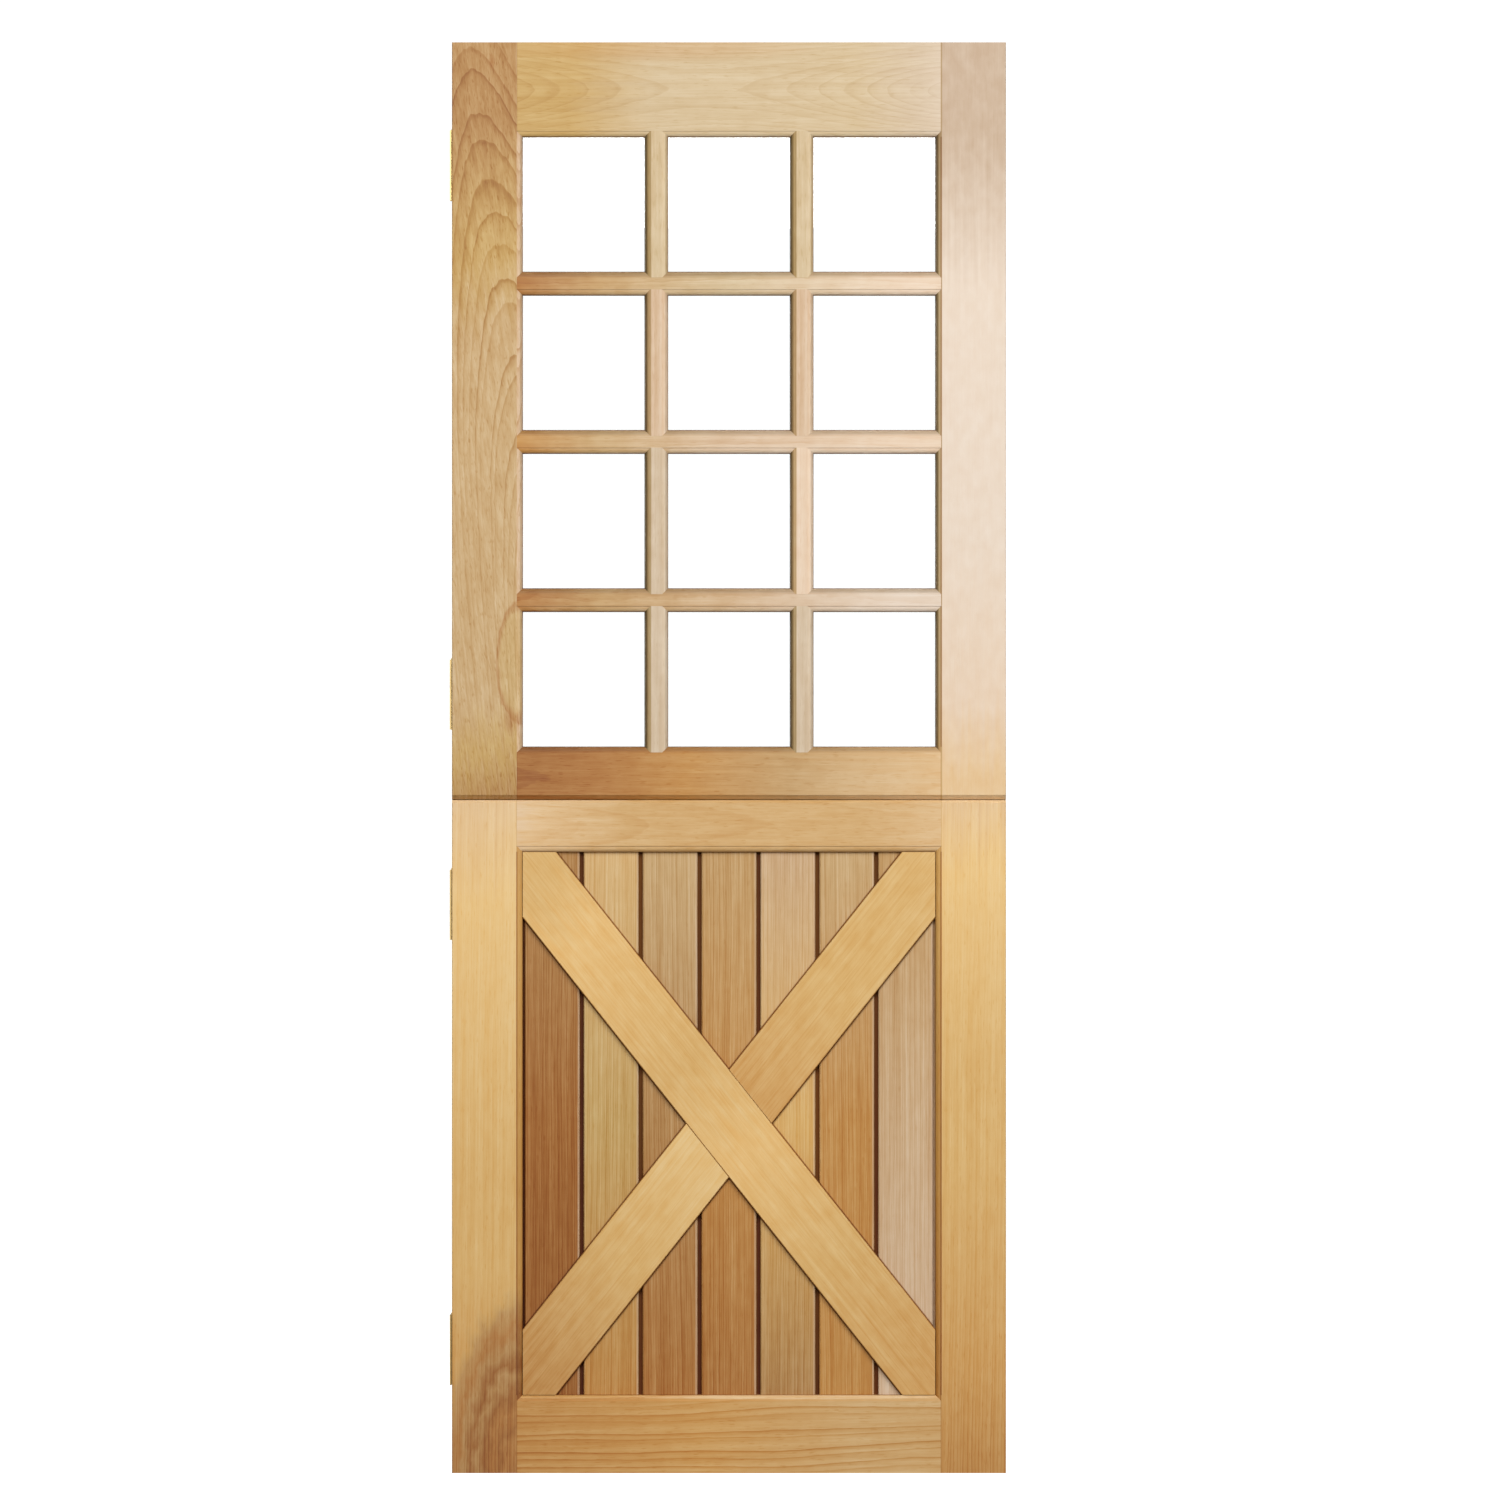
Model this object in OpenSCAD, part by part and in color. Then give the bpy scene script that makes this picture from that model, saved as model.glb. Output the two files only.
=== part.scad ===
// Stable door in two leaves: a glazed upper leaf over a boarded and braced lower leaf.
// The front face looks along -Y, +Z is up and the origin is the middle of the bottom edge.

/* [Door] */
// Width of both leaves
door_w = 790; // [740:1:900]
// Height of the two leaves together
door_h = 2040; // [1950:1:2150]
// Thickness of the stiles and rails
door_t = 40; // [38:1:48]
// Height of the meeting line above the bottom edge
meeting_h = 960; // [900:1:1050]

/* [Stiles and rails] */
// Width of a stile, moulding included
stile_w = 101; // [95:0.5:125]
// Height of the top rail, moulding included
top_rail_h = 135; // [110:0.5:180]
// Height of the upper leaf's meeting rail above the meeting line, moulding included
upper_meeting_rail_h = 76; // [66:0.5:110]
// Height of the lower leaf's meeting rail below the meeting line, moulding included
lower_meeting_rail_h = 74.5; // [70:0.5:110]
// Height of the bottom rail, moulding included
bottom_rail_h = 111.5; // [95:0.5:200]
// Small chamfer on the long edges of the timber
arris = 1; // [0.5:0.1:2]

/* [Tenons] */
// Thickness of a rail's tenon
tenon_t = 12; // [8:0.5:14]
// Length of a rail's tenon
tenon_l = 62; // [40:1:66]
// Timber left between a tenon and a moulding or a meeting rebate
tenon_shoulder = 8; // [6:0.5:12]
// Timber left between a tenon and the top or bottom edge of the door
tenon_haunch = 20; // [12:1:30]
// Thickness of a glazing bar's stub tenon
stub_t = 8; // [6:0.5:12]
// Length of a glazing bar's stub tenon
stub_l = 6; // [4:0.5:7]
// Timber left on each side of a stub tenon
stub_shoulder = 2; // [1:0.5:4]
// Room for glue round a tenon
glue_gap = 0.1; // [0.05:0.05:0.2]

/* [Moulding] */
// Radius of the quarter round on the inner edges
ovolo_r = 7; // [5:0.5:8]
// Width of the shelf beside the quarter round
quirk_w = 1.5; // [1:0.1:2.5]
// Step down from the face to the shelf
quirk_d = 1.5; // [1:0.1:2.5]
// Depth from the front face to the glass and to the boards
sticking_d = 12; // [11:0.5:14]

/* [Meeting rebate] */
// Gap between the two leaves
meeting_gap = 1; // [1:0.5:5]
// Height by which the upper leaf's lip laps behind the lower leaf
meeting_lap = 13; // [8:0.5:20]
// Thickness of the lower leaf's upstand
upstand_t = 20; // [15:0.5:22]
// Room between the upstand and the lip that closes against it
lip_gap = 0.3; // [0.2:0.1:1]
// Chamfer on the upper leaf's front edge along the meeting line
upper_chamfer = 6.5; // [2:0.5:8]
// Chamfer on the lower leaf's front edge along the meeting line
lower_chamfer = 4; // [1:0.5:8]

/* [Glazing] */
// Width of a glazing bar on the face
bar_w = 34; // [32:0.5:44]
// Thickness of the glass
glass_t = 5; // [3:0.5:8]
// Room round the edge of each pane in its rebate
glass_gap = 2; // [1:0.5:3]
// Joint left between two beads at a mitre
bead_gap = 0.2; // [0.1:0.1:0.5]
// Room between a bead and the side of its rebate
bead_fit = 0.1; // [0.05:0.05:0.3]

/* [Boards] */
// Thickness of a board
board_t = 18; // [16:0.5:20]
// Width of the square groove that shows between two boards
board_gap = 5; // [3:0.5:7]
// Depth of that groove, down to the tongue
board_lip = 8; // [6:0.5:9]
// Thickness of a tongue
tongue_t = 5; // [4:0.5:6]
// Length of a tongue
tongue_l = 8; // [6:0.5:10]
// Room behind and on each side of a tongue
tongue_gap = 0.2; // [0.1:0.1:0.5]
// Room at the end of a tongue in the groove of the frame
groove_room = 1; // [0.5:0.5:3]
// Chamfer on the front edges of a board
board_front_chamfer = 2; // [1:0.5:3]
// Chamfer on the back edges of a board
board_back_chamfer = 2; // [1:0.5:3]

/* [Cross brace] */
// Width of a brace
brace_w = 96; // [70:1:120]
// Thickness of a brace
brace_t = 8; // [8:0.5:11]
// Length of the level cut on the end of a brace
brace_toe = 48; // [35:1:60]
// Chamfer on the long edges of a brace
brace_arris = 1.5; // [0.5:0.5:3]

/* [Hinges] */
// Length of a hinge
hinge_l = 100; // [80:1:120]
// Width of a hinge leaf from the pin's axis
hinge_leaf_w = 38; // [36:0.5:44]
// Thickness of a hinge leaf
hinge_leaf_t = 2.5; // [2.2:0.1:3.2]
// Gap between the two leaves of a closed hinge
hinge_gap = 0.8; // [0.5:0.1:1.5]
// Step from the outer face of the frame's leaf out to the side of its knuckles
knuckle_step = 0.3; // [0.2:0.1:0.6]
// Diameter of a hinge pin
pin_d = 6; // [5:0.1:7]
// Diameter of the knuckles
knuckle_d = 13; // [12:0.1:16]
// Radial running clearance between pin and knuckles
pin_gap = 0.05; // [0.02:0.01:0.1]
// Gap between two knuckles, and between a knuckle and the timber
knuckle_gap = 0.4; // [0.2:0.1:0.8]
// Diameter of a pin's head
pin_head_d = 10; // [8:0.5:12]
// Height of a pin's head
pin_head_h = 3; // [2:0.5:5]
// Height from the door's top or bottom edge to the middle of the nearest hinge
hinge_end_inset = 175; // [150:1:260]
// Height from the meeting line to the middle of the nearest hinge
hinge_meeting_inset = 150; // [120:1:250]

/* [Hinge screws] */
// Diameter of a screw's shank
screw_d = 4; // [3:0.1:4.5]
// Diameter of a screw's head
screw_head_d = 8; // [7:0.1:9]
// Length of a screw
screw_l = 25; // [16:1:30]
// Width of the slot in a screw's head
screw_slot_w = 1; // [0.6:0.1:1.4]
// Depth of the slot in a screw's head
screw_slot_d = 0.8; // [0.5:0.1:1.2]
// Radial room round a screw
screw_gap = 0.1; // [0.05:0.05:0.2]
// Diameter of the screw holes in a hinge leaf
screw_hole_d = 4.6; // [4.5:0.1:5]
// Distance from the pin's axis to the near row of screws
screw_row_near = 14; // [13:0.5:18]
// Distance from the pin's axis to the far row of screws
screw_row_far = 30; // [24:0.5:31]
// Height between the two screws of the near row
screw_pitch_near = 76; // [60:1:84]
// Height between the two screws of the far row
screw_pitch_far = 30; // [16:1:40]

/* [Hidden] */
$fn = 48;
PANE_COLS = 3;
PANE_ROWS = 4;
BOARDS = 7;
HINGES = 4;
KNUCKLES = 5;
FRAME_KNUCKLES = [0, 2, 4];
DOOR_KNUCKLES = [1, 3];

// How far a cutting shape runs past what it cuts, and a moulding into its member
over = 1;

// Colours of the timber, the glass and the metal
STILE_COLOR = "#D6B27A";
RAIL_COLOR = "#D2A66C";
BAR_COLOR = "#D4AE82";
BOARD_COLORS = ["#A8703F", "#C9A46C", "#C49A6B", "#C8A568", "#CFA67E", "#B88A54", "#CBA27C"];
BRACE_COLOR = "#DFBC7C";
GLASS_COLOR = [0.86, 0.93, 0.92, 0.35];
BRASS_COLOR = "#B8923F";

// Planes across the thickness
y_front = -door_t / 2;
y_back = door_t / 2;
y_sticking = y_front + sticking_d;
y_glass_back = y_sticking + glass_t;
y_tongue = y_sticking + board_lip;
y_boards_back = y_sticking + board_t;
y_upstand = y_front + upstand_t;
y_lip = y_upstand + lip_gap;

// Planes across the width
moulding_w = ovolo_r + quirk_w;
x_edge = door_w / 2;
x_sight = x_edge - stile_w;
x_flat = x_sight + moulding_w;

// Levels of the upper leaf
z_upper_bottom = meeting_h + meeting_gap / 2;
z_lip_bottom = z_upper_bottom - meeting_lap;
z_glazing_low = meeting_h + upper_meeting_rail_h;
z_glazing_high = door_h - top_rail_h;

// Levels of the lower leaf
z_lower_top = meeting_h - meeting_gap / 2;
z_rebate = z_lower_top - meeting_lap;
z_panel_low = bottom_rail_h;
z_panel_high = meeting_h - lower_meeting_rail_h;

// Panes and bars
bar_flat = bar_w - 2 * moulding_w;
pane_w = (2 * x_sight - (PANE_COLS - 1) * bar_w) / PANE_COLS;
pane_h = (z_glazing_high - z_glazing_low - (PANE_ROWS - 1) * bar_w) / PANE_ROWS;
bead_d = door_t - sticking_d - glass_t;
function pane_x(c) = -x_sight + pane_w / 2 + (c - 1) * (pane_w + bar_w);
function pane_z(r) = z_glazing_low + pane_h / 2 + (r - 1) * (pane_h + bar_w);
function upright_x(i) = pane_x(i) + (pane_w + bar_w) / 2;
function bar_z(i) = pane_z(i) + (pane_h + bar_w) / 2;

// Boarded panel
panel_w = 2 * x_sight;
panel_h = z_panel_high - z_panel_low;
panel_z = z_panel_low + panel_h / 2;
board_w = panel_w / BOARDS;
groove_d = tongue_l + groove_room;
function board_x(i) = -panel_w / 2 + (i - 1) * board_w;

// Slope of the braces: the upper edge passes through the end of the level cut
toe_x = panel_w / 2 - brace_toe;
toe_z = panel_h / 2;
brace_angle = atan2(toe_z, toe_x) - asin(brace_w / 2 / norm([toe_x, toe_z]));
brace_l = norm([panel_w, panel_h]) + brace_w;

// Hinges: the frame's leaf runs along the outer side of the knuckles, so the pin lies behind the door's edge
door_leaf_x = hinge_gap + hinge_leaf_t + knuckle_step - knuckle_d / 2;
frame_leaf_x = knuckle_d / 2 - knuckle_step - hinge_leaf_t;
pin_x = -x_edge - door_leaf_x;
pin_y = y_back + knuckle_d / 2 + knuckle_gap;
hinge_z = [
    hinge_end_inset,
    meeting_h - hinge_meeting_inset,
    meeting_h + hinge_meeting_inset,
    door_h - hinge_end_inset
];
knuckle_pitch = hinge_l / KNUCKLES;
plate_w = hinge_leaf_w - knuckle_d / 2 - knuckle_gap;
screw_places = [
    for (side = [-1, 1]) [screw_row_near, side * screw_pitch_near / 2],
    for (side = [-1, 1]) [screw_row_far, side * screw_pitch_far / 2]
];

// An outline in elevation, drawn in X and Z, given a thickness from y0 to y1
module across(y0, y1) {
    translate([0, y1, 0]) rotate([90, 0, 0]) linear_extrude(y1 - y0) children();
}

// A section drawn in Y and Z, run along X about the middle of the door
module along_x(length) {
    rotate([90, 0, 90]) translate([0, 0, -length / 2]) linear_extrude(length) children();
}

// A rectangle in elevation between two corners
module patch(x0, z0, x1, z1) {
    translate([x0, z0]) square([x1 - x0, z1 - z0]);
}

// Section of a moulding: X is the depth from the face, Y the height above the flat of the member
module moulding_section(depth) {
    round_d = quirk_d + ovolo_r;
    translate([quirk_d, -over]) square([depth - quirk_d, over + quirk_w]);
    translate([round_d, -over]) square([depth - round_d, over + moulding_w]);
    intersection() {
        translate([round_d, quirk_w]) circle(ovolo_r);
        translate([quirk_d, -over]) square([ovolo_r, over + moulding_w]);
    }
}

// Section of a moulding that is worked on both faces of a member
module double_moulding_section() {
    intersection() {
        moulding_section(door_t);
        translate([door_t, 0]) mirror([1, 0]) moulding_section(door_t);
    }
}

// Outline of a moulding in elevation, mitred at both ends; root is how far it runs into its member
module mitred_outline(length, root) {
    long = length / 2 + moulding_w;
    polygon([
        [-long, -root], [long, -root], [long, 0],
        [length / 2, moulding_w], [-length / 2, moulding_w], [-long, 0]
    ]);
}

// A mitred moulding along X that points up, from the front face to the glass
module sticking(length) {
    intersection() {
        translate([0, y_front, 0]) along_x(length + 2 * moulding_w) moulding_section(sticking_d);
        across(y_front - over, y_back + over) mitred_outline(length, over);
    }
}

// A mitred moulding along X that points up, through the whole thickness
module panel_sticking(length) {
    intersection() {
        translate([0, y_front, 0]) along_x(length + 2 * moulding_w) double_moulding_section();
        across(y_front - over, y_back + over) mitred_outline(length, over);
    }
}

// A mitred bead along X that points up, from the glass to just below the back face
module bead(length) {
    root_l = length + 2 * (moulding_w - bead_fit);
    mirror([0, 1, 0]) intersection() {
        translate([0, y_front, 0]) along_x(length + 2 * moulding_w) moulding_section(bead_d);
        across(y_front - over, y_back + over) polygon([
            [-root_l / 2, bead_fit], [root_l / 2, bead_fit],
            [length / 2, moulding_w], [-length / 2, moulding_w]
        ]);
    }
}

// Turns a piece that points up so that it points another way
module pointing_right() { rotate([0, 90, 0]) children(); }
module pointing_left() { rotate([0, -90, 0]) children(); }
module pointing_down() { rotate([0, 180, 0]) children(); }

// Blank of the left stile: eased on the outer edges, square where the rails meet it
module stile_blank(z0, z1) {
    translate([0, 0, z0]) linear_extrude(z1 - z0) polygon([
        [-x_edge, y_front + arris], [-x_edge + arris, y_front], [-x_flat, y_front],
        [-x_flat, y_back], [-x_edge + arris, y_back], [-x_edge, y_back - arris]
    ]);
}

// Flat of a rail or a long bar, from stile to stile
module rail_blank(z0, z1) {
    across(y_front, y_back) patch(-x_flat, z0, x_flat, z1);
}

// Tenons on both ends of a rail; room is the glue room of the mortises
module rail_tenons(z0, z1, room = 0) {
    reach = x_flat + tenon_l + room;
    across(-tenon_t / 2 - room, tenon_t / 2 + room) {
        patch(-reach, z0 - room, -x_flat + over, z1 + room);
        patch(x_flat - over, z0 - room, reach, z1 + room);
    }
}

module top_rail_tenons(room = 0) {
    rail_tenons(z_glazing_high + moulding_w + tenon_shoulder, door_h - tenon_haunch, room);
}

module upper_meeting_rail_tenons(room = 0) {
    rail_tenons(z_upper_bottom + tenon_shoulder, z_glazing_low - moulding_w - tenon_shoulder, room);
}

module lower_meeting_rail_tenons(room = 0) {
    rail_tenons(z_panel_high + moulding_w + tenon_shoulder, z_rebate - tenon_shoulder, room);
}

module bottom_rail_tenons(room = 0) {
    rail_tenons(tenon_haunch, z_panel_low - moulding_w - tenon_shoulder, room);
}

// Stub tenons on both ends of a long bar
module bar_stubs(i, room = 0) {
    half = bar_flat / 2 - stub_shoulder + room;
    reach = x_flat + stub_l + room;
    across(-stub_t / 2 - room, stub_t / 2 + room) {
        patch(-reach, bar_z(i) - half, -x_flat + over, bar_z(i) + half);
        patch(x_flat - over, bar_z(i) - half, reach, bar_z(i) + half);
    }
}

// Stub tenons on both ends of an upright bar
module upright_stubs(i, r, room = 0) {
    half = bar_flat / 2 - stub_shoulder + room;
    shoulder = pane_h / 2 + moulding_w;
    reach = shoulder + stub_l + room;
    across(-stub_t / 2 - room, stub_t / 2 + room) {
        patch(upright_x(i) - half, pane_z(r) - reach, upright_x(i) + half, pane_z(r) - shoulder + over);
        patch(upright_x(i) - half, pane_z(r) + shoulder - over, upright_x(i) + half, pane_z(r) + reach);
    }
}

// What is cut from the foot of the upper leaf: the upstand's place, and a chamfer on the front edge
module upper_meeting_cut() {
    along_x(door_w + 2 * over) polygon([
        [y_front - over, z_lip_bottom - over], [y_lip, z_lip_bottom - over],
        [y_lip, z_upper_bottom], [y_front + upper_chamfer, z_upper_bottom],
        [y_front - over, z_upper_bottom + upper_chamfer + over]
    ]);
}

// What is cut from the head of the lower leaf: the lip's place, and a chamfer on the front edge
module lower_meeting_cut() {
    along_x(door_w + 2 * over) {
        polygon([
            [y_upstand, z_rebate], [y_back + over, z_rebate],
            [y_back + over, z_lower_top + over], [y_upstand, z_lower_top + over]
        ]);
        polygon([
            [y_front - over, z_lower_top - lower_chamfer - over],
            [y_front + lower_chamfer + over, z_lower_top + over],
            [y_front - over, z_lower_top + over]
        ]);
    }
}

// Recess for a hinge leaf in the edge of the hinge stile, with pilot holes for its screws
module hinge_recess(z) {
    translate([-x_edge, pin_y, z]) {
        translate([-over, -hinge_leaf_w, -hinge_l / 2])
            cube([hinge_leaf_t + over, hinge_leaf_w, hinge_l]);
        for (place = screw_places)
            translate([0, -place[0], place[1]]) rotate([0, 90, 0])
                cylinder(d = screw_d + 2 * screw_gap, h = screw_l + over);
    }
}

// Left stile of the upper leaf, without its hinge recesses
module upper_stile() {
    difference() {
        union() {
            stile_blank(z_lip_bottom, door_h);
            for (r = [1:PANE_ROWS])
                translate([-x_flat, 0, pane_z(r)]) pointing_right() sticking(pane_h);
        }
        upper_meeting_cut();
        top_rail_tenons(glue_gap);
        upper_meeting_rail_tenons(glue_gap);
        for (i = [1:PANE_ROWS - 1]) bar_stubs(i, glue_gap);
    }
}

module upper_hinge_stile() {
    color(STILE_COLOR) difference() {
        upper_stile();
        hinge_recess(hinge_z[2]);
        hinge_recess(hinge_z[3]);
    }
}

module upper_lock_stile() {
    color(STILE_COLOR) mirror([1, 0, 0]) upper_stile();
}

module top_rail() {
    color(RAIL_COLOR) difference() {
        union() {
            rail_blank(z_glazing_high + moulding_w, door_h);
            top_rail_tenons();
            for (c = [1:PANE_COLS])
                translate([pane_x(c), 0, z_glazing_high + moulding_w]) pointing_down() sticking(pane_w);
        }
        for (i = [1:PANE_COLS - 1]) upright_stubs(i, PANE_ROWS, glue_gap);
    }
}

module upper_meeting_rail() {
    color(RAIL_COLOR) difference() {
        union() {
            rail_blank(z_lip_bottom, z_glazing_low - moulding_w);
            upper_meeting_rail_tenons();
            for (c = [1:PANE_COLS])
                translate([pane_x(c), 0, z_glazing_low - moulding_w]) sticking(pane_w);
        }
        upper_meeting_cut();
        for (i = [1:PANE_COLS - 1]) upright_stubs(i, 1, glue_gap);
    }
}

// A bar from stile to stile, notched at each crossing for the points of the upright bars
module glazing_bar(i) {
    color(BAR_COLOR) difference() {
        union() {
            rail_blank(bar_z(i) - bar_flat / 2, bar_z(i) + bar_flat / 2);
            bar_stubs(i);
            for (c = [1:PANE_COLS]) {
                translate([pane_x(c), 0, bar_z(i) + bar_flat / 2]) sticking(pane_w);
                translate([pane_x(c), 0, bar_z(i) - bar_flat / 2]) pointing_down() sticking(pane_w);
            }
        }
        for (k = [1:PANE_COLS - 1]) {
            upright_stubs(k, i, glue_gap);
            upright_stubs(k, i + 1, glue_gap);
        }
    }
}

// A short bar between two long ones, or between a long one and a rail
module upright_bar(i, r) {
    half_h = pane_h / 2 + moulding_w;
    color(BAR_COLOR) {
        across(y_front, y_back)
            patch(
                upright_x(i) - bar_flat / 2, pane_z(r) - half_h,
                upright_x(i) + bar_flat / 2, pane_z(r) + half_h
            );
        upright_stubs(i, r);
        translate([upright_x(i) + bar_flat / 2, 0, pane_z(r)]) pointing_right() sticking(pane_h);
        translate([upright_x(i) - bar_flat / 2, 0, pane_z(r)]) pointing_left() sticking(pane_h);
    }
}

module pane(c, r) {
    room = moulding_w - glass_gap;
    color(GLASS_COLOR) across(y_sticking, y_glass_back) translate([pane_x(c), pane_z(r)])
        square([pane_w + 2 * room, pane_h + 2 * room], center = true);
}

// Four mitred strips behind one pane
module pane_beads(c, r) {
    half_w = pane_w / 2 + moulding_w;
    half_h = pane_h / 2 + moulding_w;
    translate([pane_x(c), 0, pane_z(r)]) {
        translate([0, 0, -half_h]) bead(pane_w - bead_gap);
        translate([0, 0, half_h]) pointing_down() bead(pane_w - bead_gap);
        translate([-half_w, 0, 0]) pointing_right() bead(pane_h - bead_gap);
        translate([half_w, 0, 0]) pointing_left() bead(pane_h - bead_gap);
    }
}

module glazing_beads(r) {
    color(BAR_COLOR) for (c = [1:PANE_COLS]) pane_beads(c, r);
}

// Groove for the tongues of the boards, all round the panel
module panel_groove() {
    across(y_tongue - tongue_gap, y_tongue + tongue_t + tongue_gap) translate([0, panel_z])
        square([panel_w + 2 * groove_d, panel_h + 2 * groove_d], center = true);
}

// Left stile of the lower leaf, without its hinge recesses
module lower_stile() {
    difference() {
        union() {
            stile_blank(0, z_lower_top);
            translate([-x_flat, 0, panel_z]) pointing_right() panel_sticking(panel_h);
        }
        lower_meeting_cut();
        panel_groove();
        lower_meeting_rail_tenons(glue_gap);
        bottom_rail_tenons(glue_gap);
    }
}

module lower_hinge_stile() {
    color(STILE_COLOR) difference() {
        lower_stile();
        hinge_recess(hinge_z[0]);
        hinge_recess(hinge_z[1]);
    }
}

module lower_lock_stile() {
    color(STILE_COLOR) mirror([1, 0, 0]) lower_stile();
}

module lower_meeting_rail() {
    color(RAIL_COLOR) difference() {
        union() {
            rail_blank(z_panel_high + moulding_w, z_lower_top);
            lower_meeting_rail_tenons();
            translate([0, 0, z_panel_high + moulding_w]) pointing_down() panel_sticking(panel_w);
        }
        lower_meeting_cut();
        panel_groove();
    }
}

module bottom_rail() {
    color(RAIL_COLOR) difference() {
        union() {
            rail_blank(0, z_panel_low - moulding_w);
            bottom_rail_tenons();
            translate([0, 0, z_panel_low - moulding_w]) panel_sticking(panel_w);
        }
        panel_groove();
    }
}

// Section of a board in X and Y: the left edge is grooved, or tongued on the first board
function board_left_edge(i, x0, lip_x) =
    i == 1
    ? [
        [x0, y_tongue + tongue_t], [x0 - tongue_l, y_tongue + tongue_t],
        [x0 - tongue_l, y_tongue], [lip_x, y_tongue]
    ]
    : [
        [x0, y_tongue + tongue_t + tongue_gap],
        [x0 + tongue_l + tongue_gap, y_tongue + tongue_t + tongue_gap],
        [x0 + tongue_l + tongue_gap, y_tongue - tongue_gap],
        [lip_x, y_tongue - tongue_gap]
    ];

function board_section(i, x0, x1) =
    let (lip_x0 = x0 + board_gap / 2, lip_x1 = x1 - board_gap / 2)
    concat(
        [
            [lip_x0, y_sticking + board_front_chamfer], [lip_x0 + board_front_chamfer, y_sticking],
            [lip_x1 - board_front_chamfer, y_sticking], [lip_x1, y_sticking + board_front_chamfer],
            [lip_x1, y_tongue], [x1 + tongue_l, y_tongue],
            [x1 + tongue_l, y_tongue + tongue_t], [x1, y_tongue + tongue_t],
            [x1, y_boards_back - board_back_chamfer], [x1 - board_back_chamfer, y_boards_back],
            [x0 + board_back_chamfer, y_boards_back], [x0, y_boards_back - board_back_chamfer]
        ],
        board_left_edge(i, x0, lip_x0)
    );

// A board, with a tongue on each end for the grooves of the rails
module board(i) {
    x0 = board_x(i);
    x1 = x0 + board_w;
    core_x0 = i == 1 ? x0 - tongue_l : x0 + tongue_l + tongue_gap;
    color(BOARD_COLORS[i - 1]) {
        translate([0, 0, z_panel_low]) linear_extrude(panel_h) polygon(board_section(i, x0, x1));
        across(y_tongue, y_tongue + tongue_t)
            patch(core_x0, z_panel_low - tongue_l, x1 + tongue_l, z_panel_high + tongue_l);
    }
}

// A straight brace along X with eased edges, turned about the middle of the panel
module brace_bar(angle, x0) {
    half = brace_w / 2;
    y_face = y_sticking - brace_t;
    translate([0, 0, panel_z]) rotate([0, -angle, 0]) translate([(x0 + brace_l) / 2, 0, 0])
        along_x(brace_l - x0) polygon([
            [y_sticking, -half], [y_sticking, half], [y_face + brace_arris, half],
            [y_face, half - brace_arris], [y_face, brace_arris - half], [y_face + brace_arris, -half]
        ]);
}

// The space over the boards, inside the frame
module panel_field() {
    across(y_front, y_sticking) translate([0, panel_z]) square([panel_w, panel_h], center = true);
}

// The long brace runs from top left to bottom right
module long_brace() {
    color(BRACE_COLOR) intersection() {
        brace_bar(-brace_angle, -brace_l);
        panel_field();
    }
}

// A short brace runs from the long one to a corner
module short_brace(turn) {
    color(BRACE_COLOR) difference() {
        intersection() {
            brace_bar(brace_angle + turn, 0);
            panel_field();
        }
        translate([0, 0, panel_z]) rotate([0, brace_angle, 0]) across(y_front - over, y_back)
            square([2 * brace_l, brace_w], center = true);
    }
}

module upper_short_brace() { short_brace(0); }
module lower_short_brace() { short_brace(180); }

// Screw hole of a hinge leaf along +X, countersunk on the face that it starts from
module screw_hole() {
    sink_d = screw_head_d + 2 * screw_gap;
    rotate([0, 90, 0]) {
        translate([0, 0, -over]) cylinder(d = screw_hole_d, h = hinge_leaf_t + 2 * over);
        cylinder(d1 = sink_d, d2 = screw_hole_d, h = (sink_d - screw_hole_d) / 2);
    }
}

// A hinge leaf about its pin. Its near face lies at x, and its knuckles are given by number from the bottom
module hinge_leaf(x, knuckles) {
    knuckle_h = knuckle_pitch - knuckle_gap;
    difference() {
        union() {
            translate([x, -hinge_leaf_w, -hinge_l / 2]) cube([hinge_leaf_t, plate_w, hinge_l]);
            for (k = knuckles)
                translate([0, 0, -hinge_l / 2 + k * knuckle_pitch + knuckle_gap / 2]) {
                    cylinder(d = knuckle_d, h = knuckle_h);
                    translate([x, -hinge_leaf_w, 0]) cube([hinge_leaf_t, hinge_leaf_w, knuckle_h]);
                }
        }
        cylinder(d = pin_d + 2 * pin_gap, h = hinge_l + 2 * over, center = true);
        for (place = screw_places)
            translate([x, -place[0], place[1]]) screw_hole();
    }
}

module door_hinge_leaf(z) {
    color(BRASS_COLOR) translate([pin_x, pin_y, z]) hinge_leaf(door_leaf_x, DOOR_KNUCKLES);
}

module frame_hinge_leaf(z) {
    color(BRASS_COLOR) translate([pin_x, pin_y, z]) mirror([1, 0, 0])
        hinge_leaf(frame_leaf_x, FRAME_KNUCKLES);
}

// A turned pin whose head sits on the top knuckle
module hinge_pin(z) {
    seat_z = hinge_l / 2 - knuckle_gap / 2;
    pin_r = pin_d / 2;
    head_r = pin_head_d / 2;
    color(BRASS_COLOR) translate([pin_x, pin_y, z]) rotate_extrude() polygon([
        [0, -seat_z], [pin_r - arris, -seat_z], [pin_r, -seat_z + arris], [pin_r, seat_z],
        [head_r, seat_z], [head_r, seat_z + pin_head_h - arris],
        [head_r - arris, seat_z + pin_head_h], [0, seat_z + pin_head_h]
    ]);
}

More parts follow.
